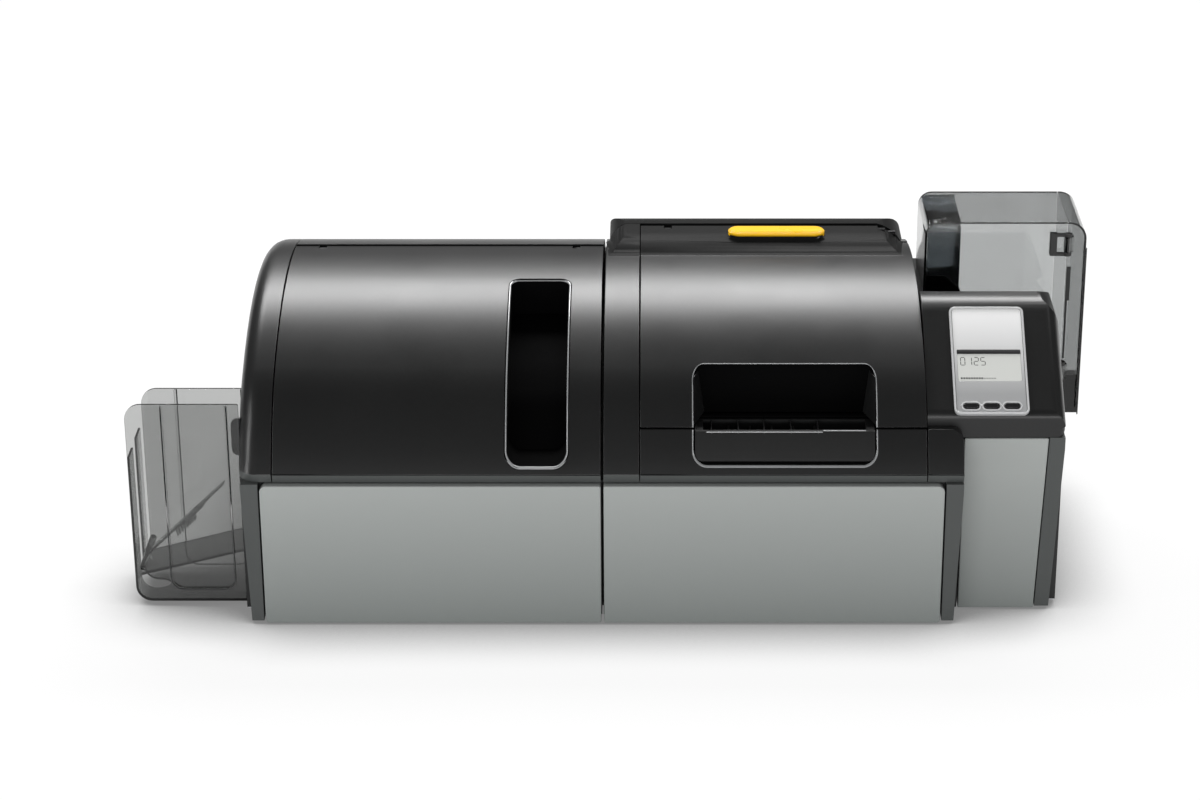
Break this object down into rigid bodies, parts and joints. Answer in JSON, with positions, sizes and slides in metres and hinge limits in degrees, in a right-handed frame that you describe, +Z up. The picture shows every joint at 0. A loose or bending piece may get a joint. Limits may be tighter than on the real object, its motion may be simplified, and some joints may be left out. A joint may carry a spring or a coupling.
{
  "type": "card printer",
  "caption": "Desktop card printer with a laminator module, hinged curved covers, feeder tower with hopper, and clear output bin.",
  "frame": {"origin": "middle of the footprint's box, on the table that the feet stand on", "axes": "+X to the feeder tower, +Y to the rear face, +Z up; the gray front panels face -Y"},
  "size_m": [0.9532, 0.5, 0.334],
  "materials": {
    "black_plastic": "satin black injection-moulded plastic",
    "dark_frame": "matt dark gray plastic",
    "gray_panel": "satin gray paint",
    "inner_black": "matt black plastic",
    "smoked_clear": "smoked clear plastic",
    "silver_bezel": "pearl silver",
    "display_gray": "pale gray display window",
    "key_black": "dark oval keys",
    "yellow": "glossy amber yellow",
    "rubber_black": "rubber",
    "steel": "zinc-plated steel",
    "roller_rubber": "smooth roller rubber",
    "heated_rubber": "silicone rubber sleeve",
    "ribbon": "wound ribbon and film on plastic cores",
    "head_metal": "cast and black-anodised",
    "socket_plate": "satin gray"
  },
  "bodies": {
    "printer": {"printer_base": "black_plastic", "laminator_base": "black_plastic", "base_plates": "steel", "feet": "rubber_black", "printer_panel": "gray_panel", "laminator_panel": "gray_panel", "printer_frame": "dark_frame", "laminator_frame": "dark_frame", "laminator_end_cap": "black_plastic", "laminator_rear_housing": "black_plastic", "printer_strip": "black_plastic", "printer_rear_housing": "black_plastic", "lower_front": "black_plastic", "corner_cover": "black_plastic", "tower_housing": "black_plastic", "tower_panel": "gray_panel", "tower_frame": "dark_frame", "control_bezel": "silver_bezel", "display": "display_gray", "hopper_shell": "smoked_clear", "hopper_guide": "inner_black", "hopper_floor": "inner_black", "hopper_hinge": "inner_black", "card_bin": "smoked_clear", "bin_ramp": "smoked_clear", "hinge_pins": "steel", "spindles": "steel", "printer_back_plate": "steel", "printer_front_rail": "steel", "print_head": "head_metal", "laminator_back_plate": "steel", "laminator_front_rail": "steel", "connector_panel": "socket_plate"},
    "main_cover": {"main_cover": "black_plastic"},
    "release_button": {"release_button": "yellow"},
    "laminator_cover": {"laminator_cover": "black_plastic", "grip_cup": "black_plastic"},
    "reject_bin": {"reject_bin": "black_plastic"},
    "key_left": {"key_left": "key_black"},
    "key_middle": {"key_middle": "key_black"},
    "key_right": {"key_right": "key_black"},
    "hopper_door": {"hopper_door": "smoked_clear", "door_foot": "inner_black"},
    "card_weight": {"card_weight": "inner_black"},
    "card_arm": {"card_arm": "smoked_clear"},
    "power_switch": {"power_switch": "inner_black"},
    "ribbon_supply": {"ribbon_supply": "ribbon"},
    "ribbon_takeup": {"ribbon_takeup": "ribbon"},
    "film_supply": {"film_supply": "ribbon"},
    "film_takeup": {"film_takeup": "ribbon"},
    "laminate_supply": {"laminate_supply": "ribbon"},
    "laminate_takeup": {"laminate_takeup": "ribbon"},
    "transfer_roller": {"transfer_roller": "heated_rubber"},
    "platen_roller": {"platen_roller": "roller_rubber"},
    "backing_roller": {"backing_roller": "roller_rubber"},
    "infeed_roller": {"infeed_roller": "roller_rubber"},
    "laminating_roller": {"laminating_roller": "heated_rubber"},
    "laminator_infeed_roller": {"laminator_infeed_roller": "roller_rubber"},
    "laminator_backing_roller": {"laminator_backing_roller": "roller_rubber"},
    "laminator_exit_roller": {"laminator_exit_roller": "roller_rubber"}
  },
  "joints": [
    {"name": "main_cover_hinge", "type": "hinge", "parent": "printer", "child": "main_cover", "pos_m": [0.163, 0.058, 0.296], "axis": [-1, 0, 0], "range_deg": [0, 62]},
    {"name": "release_button_press", "type": "slide", "parent": "main_cover", "child": "release_button", "axis": [0, 0, -1], "range_m": [0, 0.003], "stiffness_N_per_m": 400, "springref_m": -0.0005},
    {"name": "laminator_cover_hinge", "type": "hinge", "parent": "printer", "child": "laminator_cover", "pos_m": [-0.17265, 0.03874, 0.28128], "axis": [-1, 0, 0], "range_deg": [0, 62]},
    {"name": "reject_bin_tilt", "type": "hinge", "parent": "printer", "child": "reject_bin", "pos_m": [0.16435, -0.236, 0.174], "axis": [1, 0, 0], "range_deg": [0, 18]},
    {"name": "hopper_door_swing", "type": "hinge", "parent": "printer", "child": "hopper_door", "pos_m": [0.45715, -0.017, 0.22], "axis": [0, 0, -1], "range_deg": [0, 100]},
    {"name": "card_weight_slide", "type": "slide", "parent": "printer", "child": "card_weight", "axis": [0, 0, 1], "range_m": [0, 0.096]},
    {"name": "card_arm_swing", "type": "hinge", "parent": "printer", "child": "card_arm", "pos_m": [-0.46865, -0.173, 0.042], "axis": [0, 1, 0], "range_deg": [0, 14], "stiffness_Nm_per_rad": 0.03, "springref_deg": -28.65},
    {"name": "power_switch_rock", "type": "hinge", "parent": "printer", "child": "power_switch", "pos_m": [0.14745, 0.248, 0.053], "axis": [1, 0, 0], "range_deg": [0, 8]},
    {"name": "key_left_press", "type": "slide", "parent": "printer", "child": "key_left", "axis": [0, 0.5934, -0.8049], "range_m": [0, 0.0012], "stiffness_N_per_m": 300, "springref_m": -0.0004},
    {"name": "key_middle_press", "type": "slide", "parent": "printer", "child": "key_middle", "axis": [0, 0.5934, -0.8049], "range_m": [0, 0.0012], "stiffness_N_per_m": 300, "springref_m": -0.0004},
    {"name": "key_right_press", "type": "slide", "parent": "printer", "child": "key_right", "axis": [0, 0.5934, -0.8049], "range_m": [0, 0.0012], "stiffness_N_per_m": 300, "springref_m": -0.0004},
    {"name": "platen_roller_spin", "type": "hinge", "parent": "printer", "child": "platen_roller", "pos_m": [0.09635, -0.1, 0.1614], "axis": [0, 1, 0], "continuous": true},
    {"name": "backing_roller_spin", "type": "hinge", "parent": "printer", "child": "backing_roller", "pos_m": [0.23235, -0.1, 0.1614], "axis": [0, 1, 0], "continuous": true},
    {"name": "infeed_roller_spin", "type": "hinge", "parent": "printer", "child": "infeed_roller", "pos_m": [0.27965, -0.1, 0.1614], "axis": [0, 1, 0], "continuous": true},
    {"name": "transfer_roller_spin", "type": "hinge", "parent": "printer", "child": "transfer_roller", "pos_m": [0.23235, -0.1, 0.1826], "axis": [0, 1, 0], "continuous": true},
    {"name": "ribbon_supply_spin", "type": "hinge", "parent": "printer", "child": "ribbon_supply", "pos_m": [0.06235, -0.1, 0.229], "axis": [0, 1, 0], "continuous": true},
    {"name": "ribbon_takeup_spin", "type": "hinge", "parent": "printer", "child": "ribbon_takeup", "pos_m": [0.13035, -0.1, 0.229], "axis": [0, 1, 0], "continuous": true},
    {"name": "film_supply_spin", "type": "hinge", "parent": "printer", "child": "film_supply", "pos_m": [0.19835, -0.1, 0.229], "axis": [0, 1, 0], "continuous": true},
    {"name": "film_takeup_spin", "type": "hinge", "parent": "printer", "child": "film_takeup", "pos_m": [0.26635, -0.1, 0.229], "axis": [0, 1, 0], "continuous": true},
    {"name": "laminating_roller_spin", "type": "hinge", "parent": "printer", "child": "laminating_roller", "pos_m": [-0.24235, -0.1, 0.1826], "axis": [0, 1, 0], "continuous": true},
    {"name": "laminator_backing_roller_spin", "type": "hinge", "parent": "printer", "child": "laminator_backing_roller", "pos_m": [-0.24235, -0.1, 0.1614], "axis": [0, 1, 0], "continuous": true},
    {"name": "laminator_infeed_roller_spin", "type": "hinge", "parent": "printer", "child": "laminator_infeed_roller", "pos_m": [-0.04995, -0.1, 0.1614], "axis": [0, 1, 0], "continuous": true},
    {"name": "laminator_exit_roller_spin", "type": "hinge", "parent": "printer", "child": "laminator_exit_roller", "pos_m": [-0.31135, -0.1, 0.1614], "axis": [0, 1, 0], "continuous": true},
    {"name": "laminate_supply_spin", "type": "hinge", "parent": "printer", "child": "laminate_supply", "pos_m": [-0.28235, -0.1, 0.229], "axis": [0, 1, 0], "continuous": true},
    {"name": "laminate_takeup_spin", "type": "hinge", "parent": "printer", "child": "laminate_takeup", "pos_m": [-0.20235, -0.1, 0.229], "axis": [0, 1, 0], "continuous": true}
  ],
  "couplings": [
    {"joint": "backing_roller_spin", "follows": "platen_roller_spin", "ratio": 1},
    {"joint": "infeed_roller_spin", "follows": "platen_roller_spin", "ratio": 1},
    {"joint": "transfer_roller_spin", "follows": "platen_roller_spin", "ratio": -0.66667},
    {"joint": "ribbon_takeup_spin", "follows": "ribbon_supply_spin", "ratio": 1},
    {"joint": "film_takeup_spin", "follows": "film_supply_spin", "ratio": 1},
    {"joint": "laminator_backing_roller_spin", "follows": "laminating_roller_spin", "ratio": -1.5},
    {"joint": "laminator_infeed_roller_spin", "follows": "laminating_roller_spin", "ratio": -1.5},
    {"joint": "laminator_exit_roller_spin", "follows": "laminating_roller_spin", "ratio": -1.5},
    {"joint": "laminate_takeup_spin", "follows": "laminate_supply_spin", "ratio": 1}
  ]
}
